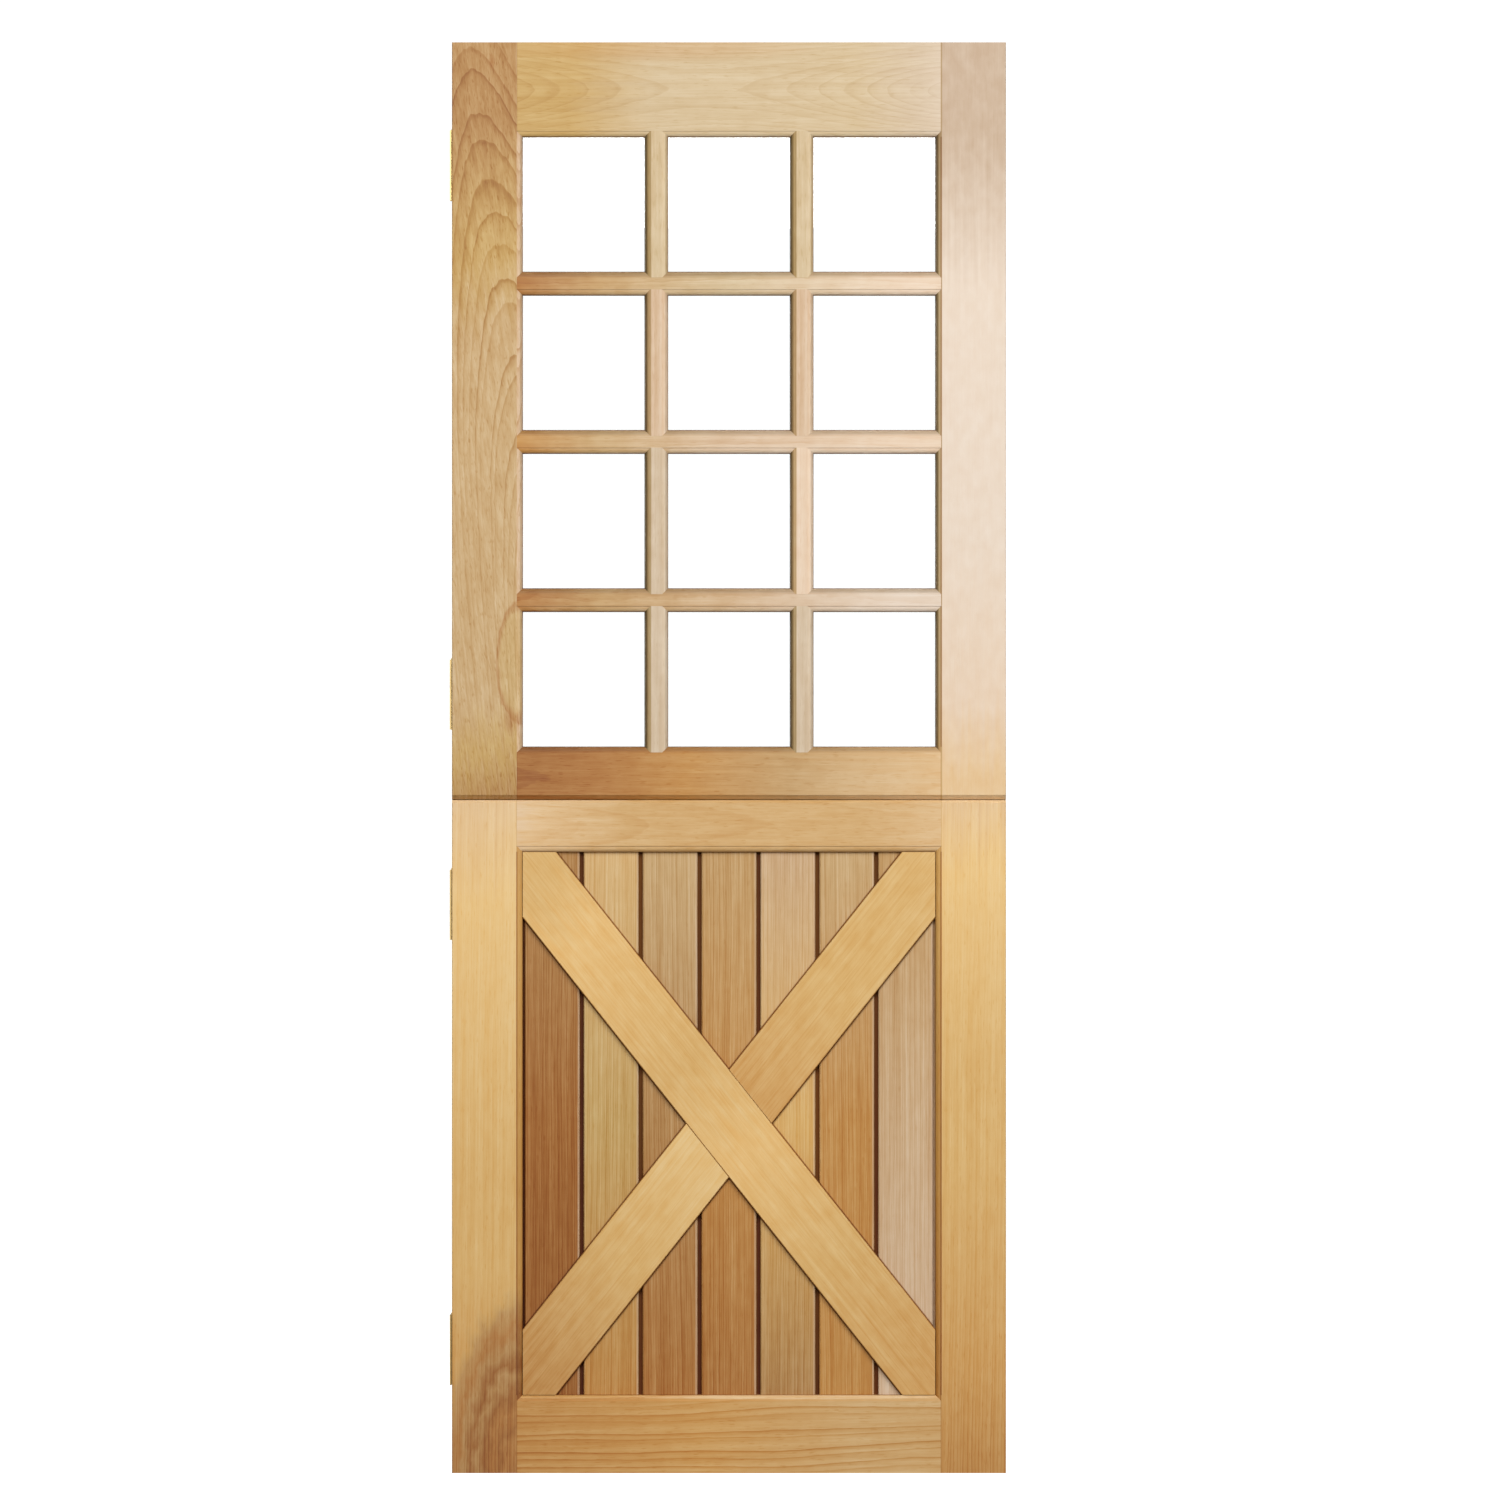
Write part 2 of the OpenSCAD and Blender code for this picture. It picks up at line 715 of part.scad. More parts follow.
// A slotted countersunk screw along +X, with its head at the start
module screw() {
    head_h = (screw_head_d - screw_d) / 2;
    difference() {
        rotate([0, 90, 0]) rotate_extrude() polygon([
            [0, 0], [screw_head_d / 2, 0], [screw_d / 2, head_h],
            [screw_d / 2, screw_l - screw_d], [0, screw_l]
        ]);
        cube([2 * screw_slot_d, screw_slot_w, screw_head_d + over], center = true);
    }
}

module hinge_screws(heights) {
    color(BRASS_COLOR) for (z = heights, place = screw_places)
        translate([-x_edge, pin_y - place[0], z + place[1]]) screw();
}

upper_hinge_stile();
upper_lock_stile();
top_rail();
upper_meeting_rail();
for (i = [1:PANE_ROWS - 1])
    glazing_bar(i);
for (i = [1:PANE_COLS - 1], r = [1:PANE_ROWS])
    upright_bar(i, r);
for (c = [1:PANE_COLS], r = [1:PANE_ROWS])
    pane(c, r);
for (r = [1:PANE_ROWS])
    glazing_beads(r);
door_hinge_leaf(hinge_z[2]);  // upper_hinge_leaf_1
door_hinge_leaf(hinge_z[3]);  // upper_hinge_leaf_2
hinge_screws([hinge_z[2], hinge_z[3]]);  // upper_hinge_screws
lower_hinge_stile();
lower_lock_stile();
lower_meeting_rail();
bottom_rail();
for (i = [1:BOARDS])
    board(i);
long_brace();
upper_short_brace();
lower_short_brace();
door_hinge_leaf(hinge_z[0]);  // lower_hinge_leaf_1
door_hinge_leaf(hinge_z[1]);  // lower_hinge_leaf_2
hinge_screws([hinge_z[0], hinge_z[1]]);  // lower_hinge_screws
for (i = [1:HINGES])
    frame_hinge_leaf(hinge_z[i - 1]);
for (i = [1:HINGES])
    hinge_pin(hinge_z[i - 1]);
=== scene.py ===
"""Looks of a stable door: sanded cedar in its own grain piece by piece, clear glass and satin brass."""
import math

import bpy
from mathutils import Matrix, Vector


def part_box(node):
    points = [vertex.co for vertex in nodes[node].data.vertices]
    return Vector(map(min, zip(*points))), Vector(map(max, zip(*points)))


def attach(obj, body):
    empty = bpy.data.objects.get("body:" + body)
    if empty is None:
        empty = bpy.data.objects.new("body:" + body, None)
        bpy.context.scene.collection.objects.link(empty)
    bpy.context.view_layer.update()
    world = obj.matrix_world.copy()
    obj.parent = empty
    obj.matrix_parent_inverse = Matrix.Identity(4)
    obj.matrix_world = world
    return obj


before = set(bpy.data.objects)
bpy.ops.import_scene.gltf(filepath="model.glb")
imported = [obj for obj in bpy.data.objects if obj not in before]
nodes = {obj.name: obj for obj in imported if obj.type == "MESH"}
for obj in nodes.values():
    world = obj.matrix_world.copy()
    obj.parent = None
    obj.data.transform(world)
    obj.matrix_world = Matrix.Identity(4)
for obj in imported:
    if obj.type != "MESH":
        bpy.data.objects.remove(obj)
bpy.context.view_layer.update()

MM = 0.001
ACROSS, BACK, UP = (Vector(row) for row in ((1, 0, 0), (0, 1, 0), (0, 0, 1)))
# Places of the two axes of the door's face in a vector
X, Z = 0, 2

# The colour is the third output of a Mix node, after the number and the vector
MIXED_COLOUR = 2

# Planes of the door that the finish follows, in metres
FRONT_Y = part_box("upper_hinge_stile")[0].y
BOARD_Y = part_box("board_4")[0].y
BRACE_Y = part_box("long_brace")[0].y
PANEL_LOW, PANEL_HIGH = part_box("long_brace")
GLASS_TOP, GLASS_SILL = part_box("top_rail")[0].z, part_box("upper_meeting_rail")[1].z
# Width of a stile's moulding, edge of the openings beside it, and edge of the stile's flat face
MOULDING_W = 8.5 * MM
SIGHT_X = PANEL_HIGH.x
FLAT_X = SIGHT_X + MOULDING_W
# Depth of the grooves between the boards, down to the front of the tongues
GROOVE_DEPTH = 8 * MM
# Slope and half width of the braces
BRACE_ANGLE = math.radians(51.55)
BRACE_HALF = 48 * MM


def linear(hex_code):
    """An sRGB hex value as a linear colour with full alpha."""
    parts = [int(hex_code[i:i + 2], 16) / 255 for i in (1, 3, 5)]
    return [p / 12.92 if p <= 0.04045 else ((p + 0.055) / 1.055) ** 2.4 for p in parts] + [1.0]


def add(tree, kind, inputs=None, stops=(), **settings):
    """Adds a node with its settings. Inputs go by socket identifier: a value, or an output to link.

    The stops of a colour ramp are each a place from 0 to 1 and a colour.
    """
    node = tree.nodes.new(kind)
    for name, value in settings.items():
        setattr(node, name, value)
    sockets = {s.identifier: s for s in node.inputs}
    for name, value in (inputs or {}).items():
        if isinstance(value, bpy.types.NodeSocket):
            tree.links.new(value, sockets[name])
        else:
            sockets[name].default_value = value
    if stops:
        elements = node.color_ramp.elements
        elements.remove(elements[-1])
        elements[0].position, elements[0].color = stops[0]
        for place, colour in stops[1:]:
            elements.new(place).color = colour
    return node


def new_material(name):
    """An empty node material, its tree and its output node."""
    material = bpy.data.materials.new(name)
    material.use_nodes = True
    material.node_tree.nodes.clear()
    return material, material.node_tree, material.node_tree.nodes.new("ShaderNodeOutputMaterial")


def finish_node(name, material):
    """Gives every material slot of a node one finish."""
    for slot in nodes[name].material_slots:
        slot.material = material


# Growth of the timber

# Lengths across and along the log over which the rings wander from true circles, and fray
WANDER_ACROSS, WANDER_ALONG = 110 * MM, 380 * MM
FRAY_ACROSS, FRAY_ALONG = 10 * MM, 28 * MM
# How far a ring frays
FRAY = 1.7 * MM
# Marks in the timber: width, length, detail of the noise, and its values that count as none and as full.
# Pores are drawn twice as coarse as they are, so that they show
MARKS = {
    "Streak": (7 * MM, 420 * MM, 3.0, 0.28, 0.72),
    "Fibre": (1.8 * MM, 70 * MM, 2.0, 0.25, 0.75),
    "Pore": (1.4 * MM, 14 * MM, 0.0, 0.66, 0.78),
    "Mottle": (16 * MM, 26 * MM, 2.0, 0.28, 0.72),
}
# Middle value of a noise colour, and the detail of the soft noise that bends and spaces the rings
NOISE_MIDDLE = (0.5, 0.5, 0.5)
SOFT_DETAIL = 1.0
# Uneven years: how fast and how much the ring width changes, in rings
UNEVEN_RATE, UNEVEN_SHARE = 0.45, 1.8
# How strongly the faintest ring shows beside the strongest
FAINTEST_RING = 0.375
# From early wood to late wood across one ring: share of the ring, and lateness there
RING_PROFILE = ((0.0, 0.0), (0.45, 0.1), (0.78, 0.45), (0.92, 1.0), (0.97, 0.9), (1.0, 0.0))


def cedar_growth():
    """A log of cedar about the Z axis, bowed in Y. Gives how late, streaked and so on, from 0 to 1."""
    tree = bpy.data.node_groups.new("cedar_growth", "ShaderNodeTree")
    tree.interface.new_socket("Log", in_out="INPUT", socket_type="NodeSocketVector")
    for name in ("Ring spacing", "Wander", "Bow"):
        tree.interface.new_socket(name, in_out="INPUT", socket_type="NodeSocketFloat")
    for name in ("Lateness", *MARKS):
        tree.interface.new_socket(name, in_out="OUTPUT", socket_type="NodeSocketFloat")
    given = add(tree, "NodeGroupInput")
    result = add(tree, "NodeGroupOutput")

    def stretched_noise(across, along, detail):
        """Noise whose cells are this wide across the log and this long along it."""
        cells = add(
            tree, "ShaderNodeVectorMath", operation="MULTIPLY",
            inputs={"Vector": given.outputs["Log"], "Vector_001": (1 / across, 1 / across, 1 / along)},
        )
        return add(
            tree, "ShaderNodeTexNoise",
            inputs={"Vector": cells.outputs["Vector"], "Scale": 1.0, "Detail": detail},
        )

    def wandering(vector, across, along, amount):
        """A vector moved about by noise."""
        drift = add(
            tree, "ShaderNodeVectorMath", operation="SUBTRACT",
            inputs={
                "Vector": stretched_noise(across, along, SOFT_DETAIL).outputs["Color"],
                "Vector_001": NOISE_MIDDLE,
            },
        )
        drift = add(
            tree, "ShaderNodeVectorMath", operation="SCALE",
            inputs={"Vector": drift.outputs["Vector"], "Scale": amount},
        )
        return add(
            tree, "ShaderNodeVectorMath", operation="ADD",
            inputs={"Vector": vector, "Vector_001": drift.outputs["Vector"]},
        ).outputs["Vector"]

    wandered = wandering(given.outputs["Log"], WANDER_ACROSS, WANDER_ALONG, given.outputs["Wander"])
    wandered = wandering(wandered, FRAY_ACROSS, FRAY_ALONG, FRAY)
    along = add(tree, "ShaderNodeSeparateXYZ", inputs={"Vector": given.outputs["Log"]}).outputs["Z"]
    square = add(
        tree, "ShaderNodeMath", operation="MULTIPLY", inputs={"Value": along, "Value_001": along},
    )
    rise = add(
        tree, "ShaderNodeMath", operation="MULTIPLY",
        inputs={"Value": square.outputs["Value"], "Value_001": given.outputs["Bow"]},
    )
    bow = add(tree, "ShaderNodeCombineXYZ", inputs={"Y": rise.outputs["Value"]})
    bowed = add(
        tree, "ShaderNodeVectorMath", operation="ADD",
        inputs={"Vector": wandered, "Vector_001": bow.outputs["Vector"]},
    )
    section = add(
        tree, "ShaderNodeVectorMath", operation="MULTIPLY",
        inputs={"Vector": bowed.outputs["Vector"], "Vector_001": (1, 1, 0)},
    )
    radius = add(
        tree, "ShaderNodeVectorMath", operation="LENGTH",
        inputs={"Vector": section.outputs["Vector"]},
    )
    years = add(
        tree, "ShaderNodeMath", operation="DIVIDE",
        inputs={"Value": radius.outputs["Value"], "Value_001": given.outputs["Ring spacing"]},
    )
    pace = add(
        tree, "ShaderNodeMath", operation="MULTIPLY",
        inputs={"Value": years.outputs["Value"], "Value_001": UNEVEN_RATE},
    )
    uneven = add(
        tree, "ShaderNodeTexNoise", noise_dimensions="1D",
        inputs={"W": pace.outputs["Value"], "Scale": 1.0, "Detail": SOFT_DETAIL},
    )
    years = add(
        tree, "ShaderNodeMath", operation="MULTIPLY_ADD",
        inputs={
            "Value": uneven.outputs["Fac"], "Value_001": UNEVEN_SHARE, "Value_002": years.outputs["Value"],
        },
    )
    year = add(
        tree, "ShaderNodeMath", operation="FLOOR", inputs={"Value": years.outputs["Value"]},
    )
    luck = add(
        tree, "ShaderNodeTexWhiteNoise", noise_dimensions="1D", inputs={"W": year.outputs["Value"]},
    )
    strength = add(
        tree, "ShaderNodeMapRange", inputs={"Value": luck.outputs["Value"], "To Min": FAINTEST_RING},
    )
    part_of_year = add(
        tree, "ShaderNodeMath", operation="FRACT", inputs={"Value": years.outputs["Value"]},
    )
    profile = add(
        tree, "ShaderNodeValToRGB", inputs={"Fac": part_of_year.outputs["Value"]},
        stops=[(place, (late, late, late, 1.0)) for place, late in RING_PROFILE],
    )
    lateness = add(
        tree, "ShaderNodeMath", operation="MULTIPLY",
        inputs={"Value": profile.outputs["Color"], "Value_001": strength.outputs["Result"]},
    )
    tree.links.new(lateness.outputs["Value"], result.inputs["Lateness"])
    for name, (width, length, detail, none, full) in MARKS.items():
        noise = stretched_noise(width, length, detail)
        mark = add(
            tree, "ShaderNodeMapRange",
            inputs={"Value": noise.outputs["Fac"], "From Min": none, "From Max": full},
        )
        tree.links.new(mark.outputs["Result"], result.inputs[name])
    return tree


GROWTH = cedar_growth()


# Sanded cedar

# Tones of clear cedar, from sapwood to heartwood
CEDAR = {
    "cream": "#E6D5C3", "ivory": "#E7D0B7", "oat": "#C7AF96", "wheat": "#D2BC97", "rose": "#D9BEA0",
    "flax": "#D4C0A5", "fawn": "#D1B28C", "straw": "#E6C597", "barley": "#EDC98A", "honey": "#EBC27F",
    "gold": "#DEB674", "maize": "#D5AE76", "corn": "#CDAE78", "amber": "#D5A562", "tan": "#DAB883",
    "sand": "#CEAF81", "ochre": "#CAA86B", "biscuit": "#C8A472", "toffee": "#B98F5B",
    "caramel": "#C69353", "chestnut": "#B47D43", "russet": "#AA723A", "umber": "#A06833",
}
# How rough the sanded surface is, on early and on late wood
EARLY_ROUGH, LATE_ROUGH = 0.62, 0.5
# Height of the raised grain, and how much of it shows
GRAIN_HEIGHT, GRAIN_SHOWN = 0.12 * MM, 0.5
# How far streaks shift the tone along a piece, and how far mottling frays the edge of a patch
TONE_DRIFT = 0.05
PATCH_FRAY = 0.1


def sanded_cedar(name, grain, middle, half, tones, pith=(0, 90, 0), ring=4.0, wander=10, bow=0.0, late=0.3,
                 streak=0.25, fibre=0.16, pore=0.2, mottle=0.1, shine=0.35, patches=(), stains=()):
    """Sanded clear cedar: matt, with rings, streaks and pores that deepen its colour towards red brown.

    The pith runs along grain and passes the point middle at the offset pith in millimetres, bowed by bow
    for each metre squared. The tones are (share of the length, tone, strength of the rings) along the
    grain, over half the length each way from middle. A patch, a tone of the wood or a painted highlight, is
    (x, z, radius in x, radius in z, its tones from the centre out with their cover), in millimetres. A
    stain or painted shade is a hex colour and its bounds, each (direction, place of a plane that way,
    distance from it where it starts, and where it is full).
    """
    material, tree, output = new_material("sanded_cedar_" + name)
    turn = grain.rotation_difference(UP).to_matrix()
    coords = add(tree, "ShaderNodeTexCoord").outputs["Object"]
    log = add(
        tree, "ShaderNodeMapping",
        inputs={
            "Vector": coords, "Location": -(turn @ (middle + Vector(pith) * MM)),
            "Rotation": turn.to_euler(),
        },
    ).outputs["Vector"]
    growth = add(tree, "ShaderNodeGroup", node_tree=GROWTH)
    tree.links.new(log, growth.inputs["Log"])
    growth.inputs["Ring spacing"].default_value = ring * MM
    growth.inputs["Wander"].default_value = wander * MM
    growth.inputs["Bow"].default_value = bow

    along = add(
        tree, "ShaderNodeVectorMath", operation="DOT_PRODUCT",
        inputs={"Vector": coords, "Vector_001": grain},
    )
    along = add(
        tree, "ShaderNodeMapRange",
        inputs={
            "Value": along.outputs["Value"],
            "From Min": middle.dot(grain) - half, "From Max": middle.dot(grain) + half,
            "To Min": -TONE_DRIFT / 2, "To Max": 1 - TONE_DRIFT / 2,
        },
    )
    along = add(
        tree, "ShaderNodeMath", operation="MULTIPLY_ADD",
        inputs={
            "Value": growth.outputs["Streak"], "Value_001": TONE_DRIFT,
            "Value_002": along.outputs["Result"],
        },
    )
    tone = add(
        tree, "ShaderNodeValToRGB", inputs={"Fac": along.outputs["Value"]},
        stops=[(place, linear(CEDAR[word])[:3] + [strength]) for place, word, strength in tones],
    )
    colour = tone.outputs["Color"]

    # Each patch is a tone of the wood or a painted highlight on an edge turned to the light
    for x, z, radius_x, radius_z, cover in patches:
        offset = add(
            tree, "ShaderNodeVectorMath", operation="SUBTRACT",
            inputs={"Vector": coords, "Vector_001": (x * MM, 0, z * MM)},
        )
        scaled = add(
            tree, "ShaderNodeVectorMath", operation="MULTIPLY",
            inputs={
                "Vector": offset.outputs["Vector"],
                "Vector_001": (1 / (radius_x * MM), 0, 1 / (radius_z * MM)),
            },
        )
        distance = add(
            tree, "ShaderNodeVectorMath", operation="LENGTH", inputs={"Vector": scaled.outputs["Vector"]},
        )
        frayed = add(
            tree, "ShaderNodeMath", operation="MULTIPLY_ADD",
            inputs={
                "Value": growth.outputs["Mottle"], "Value_001": PATCH_FRAY,
                "Value_002": distance.outputs["Value"],
            },
        )
        patch = add(
            tree, "ShaderNodeValToRGB", inputs={"Fac": frayed.outputs["Value"]},
            stops=[(place, linear(CEDAR[word])[:3] + [share]) for place, word, share in cover],
        )
        colour = add(
            tree, "ShaderNodeMix", data_type="RGBA",
            inputs={
                "Factor_Float": patch.outputs["Alpha"], "A_Color": colour,
                "B_Color": patch.outputs["Color"],
            },
        ).outputs[MIXED_COLOUR]

    lateness = add(
        tree, "ShaderNodeMath", operation="MULTIPLY",
        inputs={"Value": growth.outputs["Lateness"], "Value_001": tone.outputs["Alpha"]},
    )
    # Streaks, fibres and mottling are half full on average, so they leave the mean tone as it is given
    depth = 1 - (streak + fibre + mottle) / 2
    shares = (
        (lateness.outputs["Value"], late), (growth.outputs["Streak"], streak),
        (growth.outputs["Fibre"], fibre), (growth.outputs["Pore"], pore),
        (growth.outputs["Mottle"], mottle),
    )
    for value, share in shares:
        depth = add(
            tree, "ShaderNodeMath", operation="MULTIPLY_ADD",
            inputs={"Value": value, "Value_001": share, "Value_002": depth},
        ).outputs["Value"]
    colour = add(tree, "ShaderNodeGamma", inputs={"Color": colour, "Gamma": depth}).outputs["Color"]

    # Real stains along the joints, and painted shade in the mouldings, grooves and round the braces,
    # multiply the colour
    for code, *bounds in stains:
        amount = 1.0
        for direction, plane, start, full in bounds:
            place = add(
                tree, "ShaderNodeVectorMath", operation="DOT_PRODUCT",
                inputs={"Vector": coords, "Vector_001": direction},
            )
            offset = add(
                tree, "ShaderNodeMath", operation="SUBTRACT",
                inputs={"Value": place.outputs["Value"], "Value_001": plane},
            )
            distance = add(
                tree, "ShaderNodeMath", operation="ABSOLUTE", inputs={"Value": offset.outputs["Value"]},
            )
            amount = add(
                tree, "ShaderNodeMapRange",
                inputs={
                    "Value": distance.outputs["Value"],
                    "From Min": start, "From Max": full, "To Max": amount,
                },
            ).outputs["Result"]
        colour = add(
            tree, "ShaderNodeMix", data_type="RGBA", blend_type="MULTIPLY",
            inputs={"Factor_Float": amount, "A_Color": colour, "B_Color": linear(code)},
        ).outputs[MIXED_COLOUR]

    rough = add(
        tree, "ShaderNodeMapRange",
        inputs={"Value": lateness.outputs["Value"], "To Min": EARLY_ROUGH, "To Max": LATE_ROUGH},
    )
    bump = add(
        tree, "ShaderNodeBump",
        inputs={"Strength": GRAIN_SHOWN, "Distance": GRAIN_HEIGHT, "Height": growth.outputs["Fibre"]},
    )
    shader = add(
        tree, "ShaderNodeBsdfPrincipled",
        inputs={
            "Base Color": colour, "Roughness": rough.outputs["Result"], "Normal": bump.outputs["Normal"],
            "Specular IOR Level": shine,
        },
    )
    tree.links.new(shader.outputs["BSDF"], output.inputs["Surface"])
    return material


def clear_glass():
    """Float glass: clear and polished, faintly green where it is seen edge on."""
    material, tree, output = new_material("clear_float_glass")
    shader = add(
        tree, "ShaderNodeBsdfPrincipled",
        inputs={
            "Base Color": linear("#FCFFFE"), "Roughness": 0.0, "IOR": 1.52, "Transmission Weight": 1.0,
        },
    )
    tree.links.new(shader.outputs["BSDF"], output.inputs["Surface"])
    return material


# Length and width of the brush lines on the hinges, and how rough they are
BRUSH_ALONG, BRUSH_ACROSS = 30 * MM, 0.6 * MM
BRUSH_SMOOTH, BRUSH_ROUGH = 0.3, 0.55
# Size of the dulled patches
DULL_SIZE = 25 * MM


def satin_brass():
    """Brushed brass: warm metal with fine lines along the hinge and a slight dulling in patches."""
    material, tree, output = new_material("satin_brass")
    coords = add(tree, "ShaderNodeTexCoord").outputs["Object"]
    lines = add(
        tree, "ShaderNodeMapping",
        inputs={"Vector": coords, "Scale": (1 / BRUSH_ACROSS, 1 / BRUSH_ACROSS, 1 / BRUSH_ALONG)},
    )
    brushed = add(
        tree, "ShaderNodeTexNoise",
        inputs={"Vector": lines.outputs["Vector"], "Scale": 1.0, "Detail": 2.0},
    )
    patches = add(
        tree, "ShaderNodeTexNoise", inputs={"Vector": coords, "Scale": 1 / DULL_SIZE, "Detail": 3.0},
    )
    colour = add(
        tree, "ShaderNodeMix", data_type="RGBA",
        inputs={
            "Factor_Float": patches.outputs["Fac"],
            "A_Color": linear("#DCC288"), "B_Color": linear("#BFA26C"),
        },
    )
    rough = add(
        tree, "ShaderNodeMapRange",
        inputs={"Value": brushed.outputs["Fac"], "To Min": BRUSH_SMOOTH, "To Max": BRUSH_ROUGH},
    )
    shader = add(
        tree, "ShaderNodeBsdfPrincipled",
        inputs={
            "Base Color": colour.outputs[MIXED_COLOUR], "Metallic": 1.0,
            "Roughness": rough.outputs["Result"],
        },
    )
    tree.links.new(shader.outputs["BSDF"], output.inputs["Surface"])
    return material


# Finish of each piece of timber

def centre_and_half(name, axis):
    """The middle of a node's front face, and half its length along an axis."""
    low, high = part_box(name)
    middle = (low + high) / 2
    middle.y = low.y
    return middle, (high[axis] - low[axis]) / 2


def dress_timber(name, axis, lean=(0, 0, 0), **look):
    """Finishes a straight piece whose grain runs along an axis, off by lean for each unit of length."""
    grain = Vector(lean)
    grain[axis] += 1
    middle, half = centre_and_half(name, axis)
    finish_node(name, sanded_cedar(name, grain.normalized(), middle, half, **look))


# Painted shade in the mouldings, darkest at the edge beside the glass or the boards and on the sides turned
# from the light: colour, how far from the sight edge it is full, and over how far it fades
GLASS_EDGE_SHADE = ("#8E6740", 0.4 * MM, 1.2 * MM)
PANEL_EDGE_SHADE = ("#A97A42", 0.2 * MM, 0.8 * MM)
# Painted shade for each side of a moulding round the panes: the edge line alone underneath, a band more on
# the upper and the lit side, most on the side turned from the light
UNDER_SIDE_SHADE = (GLASS_EDGE_SHADE,)
UPPER_SIDE_SHADE = (GLASS_EDGE_SHADE, ("#CCC6BC", 4.5 * MM, 5.5 * MM))
LIT_SIDE_SHADE = (GLASS_EDGE_SHADE, ("#E0DDDA", 3.5 * MM, 1.0 * MM))
DARK_SIDE_SHADE = (
    GLASS_EDGE_SHADE, ("#B0AB99", 3.3 * MM, 1.0 * MM), ("#CCC7BA", 5.0 * MM, 2.0 * MM),
    ("#D9CCA9", 9.0 * MM, 1.5 * MM),
)
# Painted shade over the mouldings round the boarded panel
PANEL_SIDE_SHADE = (PANEL_EDGE_SHADE, ("#DCC9A6", MOULDING_W, 1.0 * MM))
# Dust and oil along the joints, and painted shade deep in the grooves between the boards and on the edges
# of the braces
JOINT_LINE = ("#E4D2B8", (ACROSS, 0.0, FLAT_X - 1.2 * MM, FLAT_X - 0.2 * MM))
GROOVE_SHADE = (
    "#8E631A", (BACK, BOARD_Y + GROOVE_DEPTH, GROOVE_DEPTH - 0.8 * MM, GROOVE_DEPTH - 1.9 * MM),
)
# Painted shade on the chamfered edges of the braces
BRACE_EDGE_SHADE = ("#A5814F", (BACK, BRACE_Y, 0.1 * MM, 1.2 * MM))
# Fine painted shadow lines beside a moulding and beside a brace: colour, reach and full width
QUIRK_SHADOW = ("#CBA77E", 1.3 * MM, 0.3 * MM)
BRACE_SHADOW = ("#98713F", 2.0 * MM, 0.4 * MM)
# A fine line fades out over this length at its ends
LINE_FADE = 1.0 * MM
# Bounds of the painted shade: near the front for the mouldings, on the front of the boards for the shadow
# lines beside the braces, and away from the clean right-hand edge of the last board
MOULDING_DEPTH = (BACK, FRONT_Y, 14 * MM, 12 * MM)
BOARD_FRONT = (BACK, BOARD_Y, 4 * MM, 2 * MM)
CLEAN_EDGE = (ACROSS, SIGHT_X, 8 * MM, 14 * MM)


def moulding(direction, sight_edge, bands):
    """The painted shade of a moulding, by its distance from its edge beside the opening."""
    return [
        (code, (direction, sight_edge, full + fade, full), MOULDING_DEPTH) for code, full, fade in bands
    ]


def quirk_shadow_line(plane, low, high):
    """The fine painted shadow line where a stile's flat front face meets its moulding, from low to high."""
    code, reach, full = QUIRK_SHADOW
    half = (high - low) / 2
    length = (UP, (low + high) / 2, half + LINE_FADE, half)
    return code, (ACROSS, plane, reach, full), length, MOULDING_DEPTH


def brace_shadow_line(rise):
    """The fine painted shadow line on the boards beside a brace: rise is +1 from bottom left, -1 from top
    left.
    """
    code, reach, full = BRACE_SHADOW
    direction = Vector((-rise * math.sin(BRACE_ANGLE), 0, math.cos(BRACE_ANGLE)))
    plane = direction.dot((PANEL_LOW + PANEL_HIGH) / 2)
    return code, (direction, plane, BRACE_HALF + reach, BRACE_HALF + full), BOARD_FRONT


# Upper leaf

# Radius along a piece of a patch that runs its whole length, in millimetres
WHOLE_LENGTH = 5000
# Patches of the hinge stile: a painted highlight on its moulding beside the panes, which faces the light,
# an arch of sapwood, a knot and a dark fleck
LIT_MOULDING_TONES = [(0.0, "rose", 0.8), (0.75, "rose", 0.7), (1.0, "rose", 0.0)]
LIT_MOULDING_HIGHLIGHT = (-298.5, 1470, 5, WHOLE_LENGTH, LIT_MOULDING_TONES)
SAP_TONES = [(0.0, "corn", 0.8), (0.8, "corn", 0.7), (0.95, "chestnut", 0.6), (1.0, "sand", 0.0)]
SAP_ARCH = (-300, 1156, 35, 95, SAP_TONES)
KNOT = (-310, 1072, 14, 24, [(0.0, "chestnut", 0.6), (1.0, "chestnut", 0.0)])
DARK_FLECK = (-338, 2012, 6, 14, [(0.0, "russet", 0.8), (1.0, "russet", 0.0)])
dress_timber(
    "upper_hinge_stile", Z, lean=(-0.138, 0.125, 0), pith=(55, 90, 0), ring=6.0,
    wander=10, late=0.85, streak=0.3, fibre=0.25, pore=0.3, stains=moulding(ACROSS, -SIGHT_X, LIT_SIDE_SHADE),
    tones=[(0.02, "toffee", 0.4), (0.08, "ochre", 0.4), (0.14, "sand", 0.4), (0.45, "sand", 0.6),
           (0.62, "sand", 1.0), (0.72, "ochre", 1.0), (0.88, "toffee", 0.9), (1.0, "toffee", 0.5)],
    patches=[LIT_MOULDING_HIGHLIGHT, SAP_ARCH, KNOT, DARK_FLECK],
)
dress_timber(
    "upper_lock_stile", Z, pith=(0, 400, 0), ring=9.0, late=0.04, streak=0.03, fibre=0.08, pore=0.05,
    mottle=0.2,
    stains=[*moulding(ACROSS, SIGHT_X, DARK_SIDE_SHADE), quirk_shadow_line(FLAT_X, GLASS_SILL, GLASS_TOP)],
    tones=[(0.04, "straw", 1), (0.14, "ivory", 1), (0.35, "cream", 1), (0.68, "cream", 1),
           (0.88, "oat", 1)],
)
